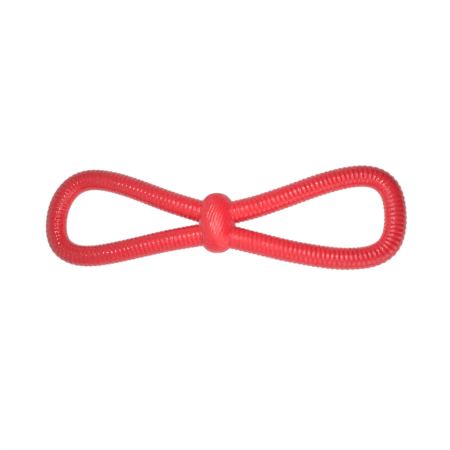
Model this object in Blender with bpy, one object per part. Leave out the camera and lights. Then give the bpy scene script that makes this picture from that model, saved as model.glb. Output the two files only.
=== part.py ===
"""A dog loop toy lying at rest: two teardrop loops of ribbed rubber cord that meet in a grooved knot.

Metres, +Z up. X runs along the toy, Y across it, and the origin is on the surface under the knot's middle.
The toy is rubber throughout. It is made of a knot, two loops and the four short lengths of cord, the necks,
where the loops bend and twist against the knot.
"""

import math

import bmesh
import bpy
import numpy as np
from mathutils import Matrix

# The cord, whose rib is one right-handed helix
CORD_DIAMETER = 0.0182
RIB_PITCH = 0.0037
RIB_DEPTH = 0.0008
RIB_SHARES = ((0.0, 1.0), (0.5, 0.0))  # share of the pitch, share of the depth below the crest there
CORD_SIDES = 10
CORD_FLAT = 0.0004  # how much of a loop's outer end is pressed flat where it lies

# The knot, an egg shape across the toy with ridges that lean like a rope's strands
KNOT_LENGTH = 0.050
KNOT_WIDTH = 0.030
KNOT_HEIGHT = 0.030
KNOT_FLAT = 0.0006
KNOT_SQUARENESS = 2.6  # an exponent: 2 is an ellipse, more has fuller shoulders
RIDGE_COUNT = 32
RIDGE_DEPTH = 0.00045
RIDGE_LEAN = math.radians(20)  # against the Y axis at the knot's middle
RIDGE_CURL = 2.3  # how much faster the ridges turn near the knot's ends
KNOT_RINGS = 14

# The loops: how far each cord's centreline reaches from the knot, and how wide it spreads
LEFT_REACH = 0.1424
LEFT_WIDTH = 0.0665
RIGHT_REACH = 0.1440
RIGHT_WIDTH = 0.0680

# The necks, and the collars on the knot that they meet
COLLAR_LENGTH = 0.0025
NECK_LENGTH = 0.040
TWIST_LENGTH = 0.0155  # the part of a neck, next to the knot, that twists; the rest folds
PIECE_GAP = 0.0003

SEAT_OVERRUN = 0.005
ROUTE_STEP = 0.0005

# Shares of a loop's reach and of its width, from inside the knot out along the upper leg and back along the lower
LEFT_ROUTE_SHARES = (
    (0.028, 0.104),
    (0.146, 0.186),
    (0.250, 0.263),
    (0.357, 0.353),
    (0.456, 0.443),
    (0.556, 0.527),
    (0.656, 0.596),
    (0.737, 0.630),
    (0.815, 0.631),
    (0.894, 0.569),
    (0.950, 0.448),
    (0.985, 0.294),
    (0.999, 0.122),
    (0.995, -0.056),
    (0.961, -0.225),
    (0.883, -0.338),
    (0.780, -0.371),
    (0.661, -0.351),
    (0.541, -0.308),
    (0.422, -0.260),
    (0.315, -0.217),
    (0.202, -0.179),
    (0.028, -0.129),
)
RIGHT_ROUTE_SHARES = (
    (0.028, 0.074),
    (0.197, 0.172),
    (0.293, 0.231),
    (0.390, 0.299),
    (0.480, 0.366),
    (0.569, 0.432),
    (0.657, 0.487),
    (0.743, 0.527),
    (0.822, 0.542),
    (0.918, 0.496),
    (0.976, 0.364),
    (0.997, 0.190),
    (0.999, 0.012),
    (0.986, -0.165),
    (0.947, -0.324),
    (0.872, -0.423),
    (0.784, -0.456),
    (0.709, -0.459),
    (0.602, -0.437),
    (0.490, -0.396),
    (0.379, -0.346),
    (0.269, -0.285),
    (0.178, -0.233),
    (0.028, -0.147),
)

# What follows from those sizes
CORD_RADIUS = CORD_DIAMETER / 2
# A regular polygon with the area of the round cord has its corners a little outside the circle
CORNER_RADIUS = CORD_RADIUS * math.sqrt(
    2 * math.pi / (CORD_SIDES * math.sin(2 * math.pi / CORD_SIDES))
)
CORD_REST_HEIGHT = CORNER_RADIUS * math.cos(math.pi / CORD_SIDES) - CORD_FLAT
KNOT_CENTRE_HEIGHT = KNOT_HEIGHT / 2 - KNOT_FLAT
NECK_START = KNOT_WIDTH / 2 + COLLAR_LENGTH
NECK_END = NECK_START + NECK_LENGTH
FOLD_PIVOT = NECK_START + (TWIST_LENGTH + NECK_LENGTH) / 2


def clear_scene():
    for old in list(bpy.data.objects):
        bpy.data.objects.remove(old, do_unlink=True)


def red_rubber(name):
    """A glossy red rubber of its own for the sub-part of that name."""
    material = bpy.data.materials.new(name + "_rubber")
    material.use_nodes = True
    surface = material.node_tree.nodes["Principled BSDF"]
    surface.inputs["Base Color"].default_value = (0.72, 0.03, 0.045, 1.0)
    surface.inputs["Roughness"].default_value = 0.35
    surface.inputs["Metallic"].default_value = 0.0
    return material


def add_object(name, bm):
    """A smooth-shaded object of the finished bmesh, with its material."""
    bmesh.ops.recalc_face_normals(bm, faces=bm.faces)
    mesh = bpy.data.meshes.new(name)
    bm.to_mesh(mesh)
    bm.free()
    mesh.shade_smooth()
    mesh.set_sharp_from_angle(angle=math.radians(50))
    mesh.materials.append(red_rubber(name))
    obj = bpy.data.objects.new(name, mesh)
    bpy.context.collection.objects.link(obj)
    return obj


def as_cutter(obj):
    obj.hide_render = True
    obj.display_type = "WIRE"
    return obj


def boolean(obj, other, operation):
    modifier = obj.modifiers.new(f"{operation.lower()} {other.name}", "BOOLEAN")
    modifier.operation = operation
    modifier.object = other


def axis_empty(name, place, parent=None):
    """An empty on a joint's axis, which the pieces that the joint moves hang from."""
    empty = bpy.data.objects.new(name, None)
    empty.empty_display_size = CORD_DIAMETER
    bpy.context.collection.objects.link(empty)
    empty.parent = parent
    empty.location = place
    return empty


def hang_from(obj, empty):
    """Makes the empty the parent and its place the object's origin, with the surface where it was."""
    bpy.context.view_layer.update()
    obj.data.transform(Matrix.Translation(-empty.matrix_world.translation))
    obj.parent = empty


def smooth_line(corners):
    """Points every ROUTE_STEP or so along the natural cubic spline through the corners."""
    corners = np.array(corners)
    chords = np.linalg.norm(np.diff(corners, axis=0), axis=1)
    at = np.concatenate([[0], np.cumsum(chords)])
    slopes = np.diff(corners, axis=0) / chords[:, None]
    system = np.eye(len(corners))
    bends = np.zeros_like(corners)
    for i in range(1, len(corners) - 1):
        system[i, i - 1 : i + 2] = chords[i - 1], 2 * (at[i + 1] - at[i - 1]), chords[i]
        bends[i] = 6 * (slopes[i] - slopes[i - 1])
    bends = np.linalg.solve(system, bends)
    steps = np.linspace(0, at[-1], math.ceil(at[-1] / ROUTE_STEP))
    i = np.clip(np.searchsorted(at, steps, side="right") - 1, 0, len(chords) - 1)
    span = chords[i][:, None]
    after = (steps - at[i])[:, None]
    before = span - after
    return (
        (bends[i] * before**3 + bends[i + 1] * after**3) / (6 * span)
        + (corners[i] / span - bends[i] * span / 6) * before
        + (corners[i + 1] / span - bends[i + 1] * span / 6) * after
    )


def resting_height(outward, reach):
    """The cord's height over the surface: it leaves the knot level and sinks to lie flat at the loop's end."""
    share = np.clip((outward - NECK_START) / (reach - NECK_START), 0, 1)
    drop = KNOT_CENTRE_HEIGHT - CORD_REST_HEIGHT
    return KNOT_CENTRE_HEIGHT - drop * (1 - np.cos(math.pi * share)) / 2


class Route:
    """The centreline of one loop's cord, measured by the length of cord from its start inside the knot."""

    def __init__(self, side, shares, reach, width):
        flat = smooth_line([(reach * along, width * across) for along, across in shares])
        outward = flat[:, 0]
        height = resting_height(outward, reach)
        self.outward = outward
        self.points = np.column_stack([side * outward, flat[:, 1], height])
        steps = np.linalg.norm(np.diff(self.points, axis=0), axis=1)
        self.lengths = np.concatenate([[0], np.cumsum(steps)])
        self.tangents = np.gradient(self.points, self.lengths, axis=0)

    def whole(self):
        return self.lengths[-1]

    def out_at(self, distance):
        """Length of cord to where the upper leg is that far out from the knot's middle."""
        tip = self.outward.argmax()
        return float(np.interp(distance, self.outward[:tip], self.lengths[:tip]))

    def back_at(self, distance):
        """Length of cord to where the lower leg is that far out from the knot's middle."""
        tip = self.outward.argmax()
        return float(np.interp(distance, self.outward[:tip:-1], self.lengths[:tip:-1]))

    def section(self, length):
        """(centre, sideways, upwards) of the cord's cross-section there, square to the cord."""
        centre = [np.interp(length, self.lengths, self.points[:, k]) for k in range(3)]
        along = [np.interp(length, self.lengths, self.tangents[:, k]) for k in range(3)]
        along = np.array(along) / np.linalg.norm(along)
        sideways = np.cross((0, 0, 1), along)
        sideways /= np.linalg.norm(sideways)
        return np.array(centre), sideways, np.cross(along, sideways)


def rib_depth_at(turns):
    """Depth of the rib's surface below its crest after so many pitches."""
    at = [share for share, _ in RIB_SHARES] + [1.0]
    depths = [depth for _, depth in RIB_SHARES] + [RIB_SHARES[0][1]]
    return RIB_DEPTH * float(np.interp(turns % 1.0, at, depths))


def ribbed_cord(name, route, start, end):
    """The solid of the cord between two lengths, both ends cut square.

    Each column of points runs along one corner of the cord. The next column is shifted on by its share of a
    pitch, and the last joins the first one whole pitch further, so the rib is one unbroken helix.
    """
    bm = bmesh.new()
    points_per_rib = len(RIB_SHARES)
    first_rib = math.floor(start / RIB_PITCH) - 2
    rib_count = math.ceil(end / RIB_PITCH) + 2 - first_rib
    columns = []
    for side in range(CORD_SIDES):
        turn = (side + 0.5) / CORD_SIDES
        angle = 2 * math.pi * turn
        column = []
        for rib in range(first_rib, first_rib + rib_count):
            for share, _ in RIB_SHARES:
                length = min(max((rib + share + turn) * RIB_PITCH, start), end)
                radius = CORNER_RADIUS - rib_depth_at(length / RIB_PITCH - turn)
                centre, sideways, upwards = route.section(length)
                point = centre + radius * (math.cos(angle) * sideways + math.sin(angle) * upwards)
                column.append(bm.verts.new(point))
        columns.append(column)
    columns.append(columns[0][points_per_rib:])
    for left, right in zip(columns, columns[1:]):
        for i in range(min(len(left), len(right)) - 1):
            bm.faces.new((left[i], right[i], right[i + 1], left[i + 1]))
    bmesh.ops.remove_doubles(bm, verts=bm.verts, dist=ROUTE_STEP / 100)
    bmesh.ops.delete(bm, geom=[v for v in bm.verts if not v.link_faces], context="VERTS")
    rims = [edge for edge in bm.edges if edge.is_boundary]
    bmesh.ops.holes_fill(bm, edges=rims, sides=0)
    return add_object(name, bm)


def surface_cutter():
    """The space below the surface that the toy lies on. It cuts flats on what is pressed against it."""
    bm = bmesh.new()
    bmesh.ops.create_cube(bm, size=1.0)
    length = LEFT_REACH + RIGHT_REACH + CORD_DIAMETER + 2 * SEAT_OVERRUN
    width = LEFT_WIDTH + RIGHT_WIDTH + CORD_DIAMETER + 2 * SEAT_OVERRUN
    bmesh.ops.scale(bm, vec=(length, width, SEAT_OVERRUN), verts=bm.verts)
    bmesh.ops.translate(bm, vec=(0, 0, -SEAT_OVERRUN / 2), verts=bm.verts)
    return as_cutter(add_object("surface_cutter", bm))


def knot_body():
    """The knot without its collars: ridges and grooves run from end to end and lean round the knot."""
    bm = bmesh.new()
    column_count = 2 * RIDGE_COUNT
    lean = math.tan(RIDGE_LEAN) * KNOT_LENGTH / KNOT_WIDTH
    rings = []
    for ring in range(1, KNOT_RINGS):
        latitude = math.pi * (ring / KNOT_RINGS - 0.5)
        swirl = lean * (latitude + RIDGE_CURL * (latitude / 2 - math.sin(2 * latitude) / 4))
        girth = (1 - abs(math.sin(latitude)) ** KNOT_SQUARENESS) ** (1 / KNOT_SQUARENESS)
        points = []
        for column in range(column_count):
            angle = 2 * math.pi * column / column_count - swirl
            depth = RIDGE_DEPTH * girth if column % 2 else 0
            points.append(
                bm.verts.new(
                    (
                        (KNOT_WIDTH / 2 * girth - depth) * math.cos(angle),
                        KNOT_LENGTH / 2 * math.sin(latitude),
                        (KNOT_HEIGHT / 2 * girth - depth) * math.sin(angle),
                    )
                )
            )
        rings.append(points)
    for near, far in zip(rings, rings[1:]):
        for i in range(column_count):
            following = (i + 1) % column_count
            bm.faces.new((near[i], near[following], far[following], far[i]))
    for ring, side in ((rings[0], -1), (rings[-1], 1)):
        pole = bm.verts.new((0, side * KNOT_LENGTH / 2, 0))
        for i in range(column_count):
            bm.faces.new((ring[i], ring[(i + 1) % column_count], pole))
    knot = add_object("knot", bm)
    knot.location = (0, 0, KNOT_CENTRE_HEIGHT)
    return knot


def build_knot(routes, surface):
    """The knot, with the collar of each of the four legs grown out of it and a flat under it."""
    knot = knot_body()
    for side, route in routes.items():
        neck_starts = {"upper": route.out_at(NECK_START), "lower": route.back_at(NECK_START)}
        spans = {
            "upper": (0, neck_starts["upper"] - PIECE_GAP / 2),
            "lower": (neck_starts["lower"] + PIECE_GAP / 2, route.whole()),
        }
        for leg, (start, end) in spans.items():
            collar = ribbed_cord(f"{side}_{leg}_collar", route, start, end)
            boolean(knot, as_cutter(collar), "UNION")
    boolean(knot, surface, "DIFFERENCE")


def build_side(side, route, direction, surface):
    """One side of the toy: two necks that twist against the knot, and the loop that folds on them."""
    twist = axis_empty(f"{side}_twist_axis", (direction * NECK_START, 0, KNOT_CENTRE_HEIGHT))
    pivot_height = float(resting_height(FOLD_PIVOT, route.outward.max()))
    fold_offset = (direction * (FOLD_PIVOT - NECK_START), 0, pivot_height - KNOT_CENTRE_HEIGHT)
    fold = axis_empty(f"{side}_fold_axis", fold_offset, twist)
    half_gap = PIECE_GAP / 2
    upper = route.out_at(NECK_START) + half_gap, route.out_at(NECK_END) - half_gap
    lower = route.back_at(NECK_END) + half_gap, route.back_at(NECK_START) - half_gap
    for leg, (start, end) in (("upper", upper), ("lower", lower)):
        neck = ribbed_cord(f"{side}_{leg}_neck", route, start, end)
        hang_from(neck, twist)
    loop = ribbed_cord(f"{side}_loop", route, upper[1] + PIECE_GAP, lower[0] - PIECE_GAP)
    hang_from(loop, fold)
    boolean(loop, surface, "DIFFERENCE")


def main():
    clear_scene()
    routes = {
        "left": Route(-1, LEFT_ROUTE_SHARES, LEFT_REACH, LEFT_WIDTH),
        "right": Route(1, RIGHT_ROUTE_SHARES, RIGHT_REACH, RIGHT_WIDTH),
    }
    surface = surface_cutter()
    build_knot(routes, surface)
    build_side("left", routes["left"], -1, surface)
    build_side("right", routes["right"], 1, surface)


main()
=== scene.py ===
"""Looks of the dog loop toy: ribbed cord and a ridged knot of glossy red rubber.

The toy lies on a plain white table in soft light, and is seen from almost straight above.
"""

import math

import bmesh
import bpy
import numpy as np
from mathutils import Matrix, Vector, noise


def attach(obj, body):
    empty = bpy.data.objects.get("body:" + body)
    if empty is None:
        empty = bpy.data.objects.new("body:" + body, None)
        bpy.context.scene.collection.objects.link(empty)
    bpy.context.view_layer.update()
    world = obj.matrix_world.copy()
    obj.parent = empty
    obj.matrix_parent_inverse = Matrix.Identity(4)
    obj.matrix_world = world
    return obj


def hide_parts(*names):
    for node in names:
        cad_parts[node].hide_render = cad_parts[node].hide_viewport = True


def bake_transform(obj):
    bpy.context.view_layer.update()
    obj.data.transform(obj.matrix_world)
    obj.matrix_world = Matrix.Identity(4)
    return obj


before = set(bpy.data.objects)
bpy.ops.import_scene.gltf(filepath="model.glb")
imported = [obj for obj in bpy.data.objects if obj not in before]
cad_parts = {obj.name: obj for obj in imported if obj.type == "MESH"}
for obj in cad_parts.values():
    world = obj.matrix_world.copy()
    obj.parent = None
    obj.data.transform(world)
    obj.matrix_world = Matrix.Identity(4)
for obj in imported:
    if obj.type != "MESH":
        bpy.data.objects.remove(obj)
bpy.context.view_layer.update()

SIDES = {"left": -1, "right": 1}
SAME_PLACE = 0.000004  # points closer than this are merged

# The cord
CORD_RADIUS = 0.0092
CORD_REST_HEIGHT = 0.00855  # of its middle at a loop's end: the cord lies on a narrow flat
# How much wider the cord is at its root, and how much thinner round the loop's end
ROOT_SWELL = {"left": 0.0003, "right": 0.0006}
END_THINNING = {"left": 0.0002, "right": 0.0003}
THINNING_SHARES = (0.0, 0.45, 0.60, 0.92)  # of the reach: plain between the middle two
RIB_PITCH = 0.0037
RIB_DEPTH = {"left": 0.00031, "right": 0.00053}
RIB_ROUNDNESS = {"left": 1.9, "right": 1.3}  # exponents: a lower one makes fuller ribs
RIB_CLOSING = 2.6  # how quickly the grooves close up where a bend squeezes them
MOST_CLOSING = 0.85  # the share of a groove's depth that closes at most
POINTS_PER_RIB = 10
CORD_FACES_AROUND = 56

# The knot, an egg that lies across the toy
KNOT_LENGTH = 0.050
KNOT_WIDTH = 0.030
KNOT_HEIGHT = 0.030
KNOT_FLAT = 0.0006  # how far it is pressed flat underneath
KNOT_CENTRE_HEIGHT = KNOT_HEIGHT / 2 - KNOT_FLAT
KNOT_SQUARENESS = 2.6  # 2 would make it an ellipsoid
KNOT_RINGS = 96
RIDGE_COUNT = 32
RIDGE_DEPTH = 0.00038
RIDGE_ROUNDNESS = 0.8
RIDGE_GROWTH = 0.35  # how much deeper the ridges are towards the knot's upper end
RIDGE_FADING = 0.65  # how much of the ridges' depth is lost where they are worn most
RIDGE_LEAN = math.radians(20)
RIDGE_CURL = 2.6  # how much more the ridges lean towards the knot's ends
FACES_PER_RIDGE = 8
SMOOTH_END = 0.6  # the ridges grow from nothing at the knot's ends up to this share of its girth
USUAL_WEAR = 0.35
SIDE_WEAR = 0.45  # more wear on the two sides that the legs grow out of
WEAR_SIZE = 0.009  # of the worn patches
WEB_REACH = 0.0040  # how far from a leg the knot's surface rises to meet it
WEB_RISE = 0.0005

# The loops. Each corner of a route is a share of the loop's reach and one of its width. The
# routes are the CAD model's, but for the right loop's upper root, which leaves the knot up to
# 1 mm further from the toy's long middle line.
REACH = {"left": 0.1424, "right": 0.1440}
WIDTH = {"left": 0.0665, "right": 0.0680}
NECK_START = 0.0175
TWIST_END = 0.033
BEND_END = 0.064
ROUTE_STEP = 0.0005
ROUTE_SHARES = {
    "left": (
        (0.028, 0.104),
        (0.146, 0.186),
        (0.250, 0.263),
        (0.357, 0.353),
        (0.456, 0.443),
        (0.556, 0.527),
        (0.656, 0.596),
        (0.737, 0.630),
        (0.815, 0.631),
        (0.894, 0.569),
        (0.950, 0.448),
        (0.985, 0.294),
        (0.999, 0.122),
        (0.995, -0.056),
        (0.961, -0.225),
        (0.883, -0.338),
        (0.780, -0.371),
        (0.661, -0.351),
        (0.541, -0.308),
        (0.422, -0.260),
        (0.315, -0.217),
        (0.202, -0.179),
        (0.028, -0.129),
    ),
    "right": (
        (0.028, 0.100),
        (0.197, 0.172),
        (0.293, 0.231),
        (0.390, 0.299),
        (0.480, 0.366),
        (0.569, 0.432),
        (0.657, 0.487),
        (0.743, 0.527),
        (0.822, 0.542),
        (0.918, 0.496),
        (0.976, 0.364),
        (0.997, 0.190),
        (0.999, 0.012),
        (0.986, -0.165),
        (0.947, -0.324),
        (0.872, -0.423),
        (0.784, -0.456),
        (0.709, -0.459),
        (0.602, -0.437),
        (0.490, -0.396),
        (0.379, -0.346),
        (0.269, -0.285),
        (0.178, -0.233),
        (0.028, -0.147),
    ),
}

# The rubber
RED = (0.74, 0.026, 0.042, 1.0)
# The deeper red that the grooves are painted towards, as painted shade
GROOVE_SHADE_RED = (0.60, 0.015, 0.026, 1.0)
PALE_RED = (0.79, 0.044, 0.064, 1.0)
# How fine its patterns are: clouds of paler red, smears of duller gloss, and grain
CLOUD_SCALE = 45.0
SMEAR_SCALE = 260.0
GRAIN_SCALE = 2600.0
CLOUD_START = 0.35  # clouds show where their pattern is above this
CLOUD_STRENGTH = 0.5
# Painted shade: how far the red turns to the deeper red in a groove
GROOVE_SHADE_SHARE = 0.25  # how far the red turns to the deep one in a groove
GRAIN_SHARE = 0.15  # the height of the grain next to that of the smears
BUMP_HEIGHT = 0.0002
BUMP_STRENGTH = 0.07
ROUGHNESS = 0.34
SMEAR_ROUGHENING = 0.10
GROOVE_ROUGHENING = 0.10

# The table
TABLE_REACH = 3.0  # from its middle to its edges
TABLE_GREY = (0.80, 0.80, 0.80, 1.0)
TABLE_GLOW = 1.10  # its own white, which a look or a reflection meets
TABLE_GLOW_SHARE = 0.88  # the rest is lit by the lamps, and holds the toy's shadow

# The surrounding: dim as a light, and in the rubber's gloss a wall that fades to the right
WHITE = (1.0, 1.0, 1.0, 1.0)
ROOM_LIGHT = 0.03
WALL_AHEAD = 0.30
WALL_FADING = 0.45
WALL_LEFT_GAIN = 0.50

# The lamps, which are all rectangles: where each stands, what it faces, its sides and its watts
MIDDLE = (0.0, 0.0, 0.01)
LAMPS = {
    "left_spot": ((-0.09, 0.01, 0.32), (-0.09, 0.0, 0.0), (0.05, 0.05), 0.20),
    "right_spot": ((0.05, 0.045, 0.32), (0.05, 0.02, 0.0), (0.05, 0.05), 0.18),
    "left_panel": ((-0.17, 0.0, 0.30), (-0.15, 0.0, 0.0), (0.20, 0.30), 0.02),
    "right_panel": ((0.12, 0.14, 0.32), (0.12, 0.0, 0.0), (0.20, 0.26), 0.02),
    "middle_panel": ((0.035, -0.02, 0.19), (0.035, -0.02, 0.0), (0.18, 0.20), 0.27),
    "front_wall": ((0.48, -0.94, 0.50), MIDDLE, (1.40, 0.98), 3.6),
    "left_wall": ((-0.99, 0.0, 0.34), MIDDLE, (1.10, 0.66), 1.5),
    "back_wall": ((-0.10, 0.96, 0.24), MIDDLE, (1.20, 0.46), 1.0),
    "right_box": ((0.72, -0.70, 0.26), MIDDLE, (1.10, 0.50), 3.4),
}

# The camera stands almost straight above the toy, a little towards the viewer and to the right
CAMERA_AIM = Vector((0.0, 0.0, 0.012))
CAMERA_DIRECTION = Vector((0.14, -0.19, 0.972))
CAMERA_DISTANCE = 0.500
CLIP_START = 0.01
PICTURE_SIZE = 450
AIM_PIXEL = (217.6, 223.5)  # where the camera's aim falls in the picture
FOCAL_PIXELS = 601.6
SENSOR_WIDTH = 36.0  # millimetres, as the camera counts


def smooth_line(corners):
    """Points every ROUTE_STEP or so along the natural cubic spline through the corners."""
    corners = np.array(corners)
    chords = np.linalg.norm(np.diff(corners, axis=0), axis=1)
    at = np.concatenate([[0], np.cumsum(chords)])
    slopes = np.diff(corners, axis=0) / chords[:, None]
    system = np.eye(len(corners))
    bends = np.zeros_like(corners)
    for i in range(1, len(corners) - 1):
        system[i, i - 1 : i + 2] = chords[i - 1], 2 * (at[i + 1] - at[i - 1]), chords[i]
        bends[i] = 6 * (slopes[i] - slopes[i - 1])
    bends = np.linalg.solve(system, bends)
    steps = np.linspace(0, at[-1], math.ceil(at[-1] / ROUTE_STEP))
    i = np.clip(np.searchsorted(at, steps, side="right") - 1, 0, len(chords) - 1)
    span = chords[i][:, None]
    after = (steps - at[i])[:, None]
    before = span - after
    return (
        (bends[i] * before**3 + bends[i + 1] * after**3) / (6 * span)
        + (corners[i] / span - bends[i] * span / 6) * before
        + (corners[i + 1] / span - bends[i + 1] * span / 6) * after
    )


class Route:
    """The centreline of one loop's cord. Lengths count along it from its start in the knot."""

    def __init__(self, side):
        reach, width = REACH[side], WIDTH[side]
        corners = [(reach * along, width * across) for along, across in ROUTE_SHARES[side]]
        flat = smooth_line(corners)
        self.outward = flat[:, 0]
        self.tip = self.outward.argmax()
        share = np.clip((self.outward - NECK_START) / (self.outward.max() - NECK_START), 0, 1)
        drop = KNOT_CENTRE_HEIGHT - CORD_REST_HEIGHT
        height = KNOT_CENTRE_HEIGHT - drop * (1 - np.cos(math.pi * share)) / 2
        self.points = np.column_stack([SIDES[side] * self.outward, flat[:, 1], height])
        steps = np.linalg.norm(np.diff(self.points, axis=0), axis=1)
        self.lengths = np.concatenate([[0], np.cumsum(steps)])
        self.tangents = np.gradient(self.points, self.lengths, axis=0)
        turning = np.gradient(np.unwrap(np.arctan2(self.tangents[:, 1], self.tangents[:, 0])))
        self.curving = turning / np.gradient(self.lengths)

    def rib_count(self):
        """Whole ribs on the cord, less one, because a screw's rims reach one pitch further."""
        return int(self.lengths[-1] / RIB_PITCH) - 1

    def ribs_to(self, distance):
        """Whole ribs out to that distance from the knot's middle, on the upper leg."""
        length = np.interp(distance, self.outward[: self.tip], self.lengths[: self.tip])
        return round(float(length) / RIB_PITCH)

    def ribs_back_to(self, distance):
        """Whole ribs round the loop and back to that distance, on the lower leg."""
        length = np.interp(distance, self.outward[: self.tip : -1], self.lengths[: self.tip : -1])
        return round(float(length) / RIB_PITCH)

    def bend(self, straight):
        """Places on the bent cord of points on a straight one, whose X is the length of cord."""
        length = straight[:, 0]
        centre = np.column_stack(
            [np.interp(length, self.lengths, self.points[:, axis]) for axis in range(3)]
        )
        along = np.column_stack(
            [np.interp(length, self.lengths, self.tangents[:, axis]) for axis in range(3)]
        )
        along /= np.linalg.norm(along, axis=1)[:, None]
        sideways = np.cross(np.array([0.0, 0.0, 1.0]), along)
        sideways /= np.linalg.norm(sideways, axis=1)[:, None]
        upwards = np.cross(along, sideways)
        return centre + straight[:, 1:2] * sideways + straight[:, 2:3] * upwards


def add_piece(name, bm, material):
    mesh = bpy.data.meshes.new(name)
    bm.to_mesh(mesh)
    bm.free()
    mesh.shade_smooth()
    mesh.materials.append(material)
    piece = bpy.data.objects.new(name, mesh)
    bpy.context.collection.objects.link(piece)
    return piece


def coordinates(bm):
    return np.array([vert.co for vert in bm.verts])


def move_to(bm, places):
    for vert, place in zip(bm.verts, places):
        vert.co = place


def store(bm, name, values):
    """Keeps one number for each point, which a material reads as an attribute."""
    layer = bm.verts.layers.float.new(name)
    for vert, value in zip(bm.verts, values):
        vert[layer] = value


def ribbed_piece(name, side, route, first_rib, last_rib, material):
    """The cord between two grooves: a ribbed line is turned into a straight screw, then bent."""
    depth = RIB_DEPTH[side]
    bm = bmesh.new()
    profile = []
    for i in range((last_rib - first_rib) * POINTS_PER_RIB + 1):
        crest = math.sin(math.pi * (i % POINTS_PER_RIB) / POINTS_PER_RIB) ** RIB_ROUNDNESS[side]
        x = (first_rib + i / POINTS_PER_RIB) * RIB_PITCH
        profile.append(bm.verts.new((x, 0, -(CORD_RADIUS - depth * (1 - crest)))))
    edges = [bm.edges.new(pair) for pair in zip(profile, profile[1:])]
    bmesh.ops.spin(
        bm,
        geom=profile + edges,
        axis=(1, 0, 0),
        cent=(0, 0, 0),
        angle=2 * math.pi,
        steps=CORD_FACES_AROUND,
        dvec=(RIB_PITCH / CORD_FACES_AROUND, 0, 0),
    )
    # The turn ends one rib further on than it starts, so its two edges are joined by place
    bmesh.ops.remove_doubles(bm, verts=bm.verts, dist=SAME_PLACE)
    rims = [edge for edge in bm.edges if edge.is_boundary]
    for edge in rims:
        edge.smooth = False
    bmesh.ops.holes_fill(bm, edges=rims, sides=0)
    bmesh.ops.recalc_face_normals(bm, faces=bm.faces)
    straight = coordinates(bm)
    radius = np.hypot(straight[:, 1], straight[:, 2])
    store(bm, "crest", (radius - CORD_RADIUS) / depth + 1)
    squeeze = np.interp(straight[:, 0], route.lengths, route.curving) * straight[:, 1]
    closing = np.clip(RIB_CLOSING * squeeze, 0, MOST_CLOSING)
    filled = radius + closing * (CORD_RADIUS - radius)
    straight[:, 1:] *= (filled / radius)[:, None]
    out = np.interp(straight[:, 0], route.lengths, route.outward) / route.outward.max()
    swell = np.interp(out, THINNING_SHARES, (ROOT_SWELL[side], 0, 0, -END_THINNING[side]))
    straight[:, 1:] *= 1 + swell[:, None] / CORD_RADIUS
    places = route.bend(straight)
    places[:, 2] = np.maximum(places[:, 2], 0)
    move_to(bm, places)
    return add_piece(name, bm, material)


def build_cords(routes, material):
    """Each loop is one cord, cut at grooves where one body hands over to the next."""
    for side, route in routes.items():
        stops = {
            "upper_root": (0, route.ribs_to(TWIST_END)),
            "upper_bend": (route.ribs_to(TWIST_END), route.ribs_to(BEND_END)),
            "bow": (route.ribs_to(BEND_END), route.ribs_back_to(BEND_END)),
            "lower_bend": (route.ribs_back_to(BEND_END), route.ribs_back_to(TWIST_END)),
            "lower_root": (route.ribs_back_to(TWIST_END), route.rib_count()),
        }
        pieces = {
            part: ribbed_piece(f"{side}_{part}", side, route, first, last, material)
            for part, (first, last) in stops.items()
        }
        for leg in ("upper", "lower"):
            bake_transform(pieces[f"{leg}_root"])
            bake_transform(pieces[f"{leg}_bend"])
            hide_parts(f"{side}_{leg}_neck")
        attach(pieces["bow"], f"{side}_loop")
        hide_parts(f"{side}_loop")


def web_rise(places, normals, routes):
    """The knot's surface with a low web round each leg, where the rubber of both runs together."""
    nearest = np.full(len(places), np.inf)
    for route in routes.values():
        in_knot = route.points[route.outward < NECK_START]
        for axis_point in in_knot[::2]:
            nearest = np.minimum(nearest, np.linalg.norm(places - axis_point, axis=1))
    gap = np.clip((nearest - CORD_RADIUS) / WEB_REACH, 0, 1)
    return places + normals * (WEB_RISE * (1 - gap) ** 2)[:, None]


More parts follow.
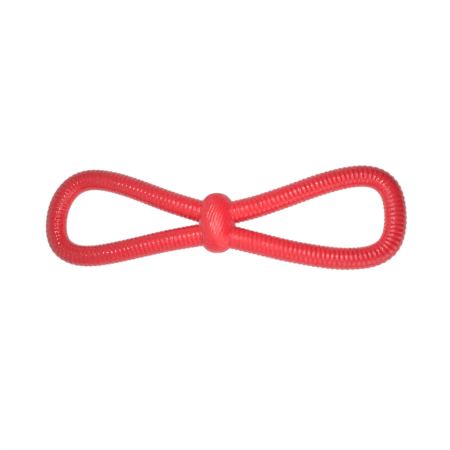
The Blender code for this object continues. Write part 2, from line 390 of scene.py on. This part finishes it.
def build_knot(routes, material):
    """A smooth egg is spun at unit size. Its points then take the knot's size and ridges."""
    bm = bmesh.new()
    profile = []
    for ring in range(KNOT_RINGS + 1):
        latitude = math.pi * (ring / KNOT_RINGS - 0.5)
        girth = max(1 - abs(math.sin(latitude)) ** KNOT_SQUARENESS, 0) ** (1 / KNOT_SQUARENESS)
        profile.append(bm.verts.new((girth, math.sin(latitude), 0)))
    edges = [bm.edges.new(pair) for pair in zip(profile, profile[1:])]
    bmesh.ops.spin(
        bm,
        geom=profile + edges,
        axis=(0, 1, 0),
        cent=(0, 0, 0),
        angle=2 * math.pi,
        steps=RIDGE_COUNT * FACES_PER_RIDGE,
        use_merge=True,
    )
    # This closes the two poles
    bmesh.ops.remove_doubles(bm, verts=bm.verts, dist=SAME_PLACE)
    bmesh.ops.recalc_face_normals(bm, faces=bm.faces)
    unit = coordinates(bm)
    latitude = np.arcsin(np.clip(unit[:, 1], -1, 1))
    girth = np.hypot(unit[:, 0], unit[:, 2])
    angle = np.arctan2(unit[:, 2], unit[:, 0])
    crest = np.abs(np.cos(RIDGE_COUNT * angle / 2)) ** RIDGE_ROUNDNESS
    lean = math.tan(RIDGE_LEAN) * KNOT_LENGTH / KNOT_WIDTH
    angle -= lean * (latitude + RIDGE_CURL * (latitude / 2 - np.sin(2 * latitude) / 4))
    outward = np.column_stack([np.cos(angle), np.zeros_like(angle), np.sin(angle)])
    size = np.array([KNOT_WIDTH, KNOT_LENGTH, KNOT_HEIGHT]) / 2
    places = outward * girth[:, None] * size
    places[:, 1] = unit[:, 1] * size[1]
    normals = places / size**2
    normals /= np.linalg.norm(normals, axis=1)[:, None]
    wear = np.array([noise.noise(Vector(place) / WEAR_SIZE) for place in places])
    sideways = np.abs(places[:, 0]) / size[0]
    fading = np.clip(USUAL_WEAR + wear + SIDE_WEAR * sideways**2, 0, 1) * RIDGE_FADING
    depth = RIDGE_DEPTH * (1 + RIDGE_GROWTH * unit[:, 1]) * (1 - fading)
    depth *= np.minimum(girth / SMOOTH_END, 1)
    places -= normals * (depth * (1 - crest))[:, None]
    places[:, 2] += KNOT_CENTRE_HEIGHT
    places = web_rise(places, normals, routes)
    places[:, 2] = np.maximum(places[:, 2], 0)
    store(bm, "crest", crest)
    move_to(bm, places)
    knot = add_piece("ridged_knot", bm, material)
    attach(knot, "knot")
    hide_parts("knot")


class Socket:
    """An output of a node. Arithmetic on it adds Math nodes."""

    def __init__(self, paint, socket):
        self.paint = paint
        self.socket = socket

    def __add__(self, other):
        return self.paint.math("ADD", self, other)

    def __sub__(self, other):
        return self.paint.math("SUBTRACT", self, other)

    def __rsub__(self, other):
        return self.paint.math("SUBTRACT", other, self)

    def __mul__(self, other):
        return self.paint.math("MULTIPLY", self, other)

    __radd__ = __add__
    __rmul__ = __mul__

    def clamped(self):
        return self.paint.node("ShaderNodeClamp", {}, {"Value": self})


class Paint:
    """The nodes of a material or of the world."""

    def __init__(self, owner):
        owner.use_nodes = True
        self.owner = owner
        self.tree = owner.node_tree

    def set(self, node, inputs):
        for key, value in inputs.items():
            if isinstance(value, Socket):
                self.tree.links.new(value.socket, node.inputs[key])
            else:
                node.inputs[key].default_value = value

    def node(self, kind, settings=None, inputs=None, output=0):
        node = self.tree.nodes.new(kind)
        for key, value in (settings or {}).items():
            setattr(node, key, value)
        self.set(node, inputs or {})
        return Socket(self, node.outputs[output])

    def math(self, operation, first, second):
        return self.node("ShaderNodeMath", {"operation": operation}, {0: first, 1: second})

    def attribute(self, name):
        return self.node("ShaderNodeAttribute", {"attribute_name": name}, output="Fac")

    def noise(self, place, scale, detail=2.0, roughness=0.5):
        return self.node(
            "ShaderNodeTexNoise",
            {},
            {"Vector": place, "Scale": scale, "Detail": detail, "Roughness": roughness},
        )

    def mix_colours(self, share, first, second):
        """A colour between two, by a share from 0 to 1."""
        # A Mix node's sockets share their names, so they go by number
        inputs = {0: share, 6: first, 7: second}
        return self.node("ShaderNodeMix", {"data_type": "RGBA"}, inputs, output=2)

    def mix_numbers(self, share, first, second):
        inputs = {0: share, 2: first, 3: second}
        return self.node("ShaderNodeMix", {"data_type": "FLOAT"}, inputs)

    def seen(self):
        """1 for a look, a reflection or a view through glass, and 0 for light on its way."""
        rays = [
            self.node("ShaderNodeLightPath", output=ray)
            for ray in ("Is Camera Ray", "Is Glossy Ray", "Is Transmission Ray")
        ]
        return (rays[0] + rays[1] + rays[2]).clamped()


def rubber(name):
    """Glossy red rubber, with painted shade that turns its grooves a deeper red, and duller
    grooves; faintly cloudy and uneven.
    """
    paint = Paint(bpy.data.materials.new(name))
    place = paint.node("ShaderNodeTexCoord", output="Object")
    crest = paint.attribute("crest")
    cloud = paint.noise(place, CLOUD_SCALE, detail=3.0)
    grain = paint.noise(place, GRAIN_SCALE)
    smear = paint.noise(place, SMEAR_SCALE, detail=4.0, roughness=0.6)
    cloudy = paint.mix_colours((cloud - CLOUD_START) * CLOUD_STRENGTH, RED, PALE_RED)
    groove = 1 - crest
    # Painted shade: the grooves of the cord and the knot turn towards a deeper red
    colour = paint.mix_colours((groove * GROOVE_SHADE_SHARE).clamped(), cloudy, GROOVE_SHADE_RED)
    roughness = ROUGHNESS + smear * SMEAR_ROUGHENING + groove * GROOVE_ROUGHENING
    bump = paint.node(
        "ShaderNodeBump",
        {},
        {
            "Strength": BUMP_STRENGTH,
            "Distance": BUMP_HEIGHT,
            "Height": grain * GRAIN_SHARE + smear,
        },
    )
    paint.set(
        paint.tree.nodes["Principled BSDF"],
        {
            "Base Color": colour,
            "Roughness": roughness.clamped(),
            "Normal": bump,
            "Metallic": 0.0,
            "IOR": 1.23,
            "Coat Weight": 0.72,
            "Coat Roughness": 0.11,
            "Coat IOR": 1.45,
            "Subsurface Weight": 0.25,
            "Subsurface Radius": (1.0, 0.15, 0.10),
            "Subsurface Scale": 0.0012,
        },
    )
    return paint.owner


def add_table():
    paint = Paint(bpy.data.materials.new("white_table"))
    lit = paint.node("ShaderNodeBsdfDiffuse", {}, {"Color": TABLE_GREY})
    glow = paint.node("ShaderNodeEmission", {}, {"Color": WHITE, "Strength": TABLE_GLOW})
    glow_share = paint.seen() * TABLE_GLOW_SHARE
    surface = paint.node("ShaderNodeMixShader", {}, {0: glow_share, 1: lit, 2: glow})
    paint.set(paint.tree.nodes["Material Output"], {"Surface": surface})
    bm = bmesh.new()
    bmesh.ops.create_grid(bm, x_segments=1, y_segments=1, size=TABLE_REACH)
    table = add_piece("table", bm, paint.owner)


def add_lamp(name, place, aim, size, watts):
    data = bpy.data.lights.new(name, "AREA")
    data.shape = "RECTANGLE"
    data.size, data.size_y = size
    data.energy = watts
    lamp = bpy.data.objects.new(name, data)
    bpy.context.collection.objects.link(lamp)
    lamp.location = place
    lamp.rotation_euler = (Vector(aim) - Vector(place)).to_track_quat("-Z", "Y").to_euler()


def light_room():
    """White to look at, dim as a light, and in gloss a wall on the left that fades rightward."""
    world = bpy.data.worlds.new("studio")
    bpy.context.scene.world = world
    paint = Paint(world)
    direction = paint.node("ShaderNodeTexCoord", output="Generated")
    rightward = paint.node("ShaderNodeSeparateXYZ", {}, {0: direction}, output="X")
    leftward = (rightward * -1.0).clamped()
    wall = WALL_AHEAD - rightward * WALL_FADING + leftward * leftward * WALL_LEFT_GAIN
    camera_rays = paint.node("ShaderNodeLightPath", output="Is Camera Ray")
    shown = (camera_rays + paint.seen() * wall.clamped()).clamped()
    strength = paint.mix_numbers(shown, ROOM_LIGHT, 1.0)
    paint.set(paint.tree.nodes["Background"], {"Strength": strength, "Color": WHITE})


def add_camera():
    data = bpy.data.cameras.new("camera")
    data.sensor_width = SENSOR_WIDTH
    data.lens = FOCAL_PIXELS / PICTURE_SIZE * SENSOR_WIDTH
    data.shift_x = (PICTURE_SIZE / 2 - AIM_PIXEL[0]) / PICTURE_SIZE
    data.shift_y = (AIM_PIXEL[1] - PICTURE_SIZE / 2) / PICTURE_SIZE
    data.clip_start = CLIP_START
    camera = bpy.data.objects.new("camera", data)
    bpy.context.collection.objects.link(camera)
    backward = CAMERA_DIRECTION.normalized()
    rightward = Vector((0, 1, 0)).cross(backward).normalized()
    upward = backward.cross(rightward)
    place = CAMERA_AIM + backward * CAMERA_DISTANCE
    turn = Matrix((rightward, upward, backward)).transposed().to_4x4()
    camera.matrix_world = Matrix.Translation(place) @ turn
    bpy.context.scene.camera = camera


def main():
    routes = {side: Route(side) for side in SIDES}
    red_rubber = rubber("red_rubber")
    build_cords(routes, red_rubber)
    build_knot(routes, red_rubber)
    add_table()
    light_room()
    for name, (place, aim, size, watts) in LAMPS.items():
        add_lamp(name, place, aim, size, watts)
    add_camera()
    bpy.context.scene.view_settings.view_transform = "Standard"


main()
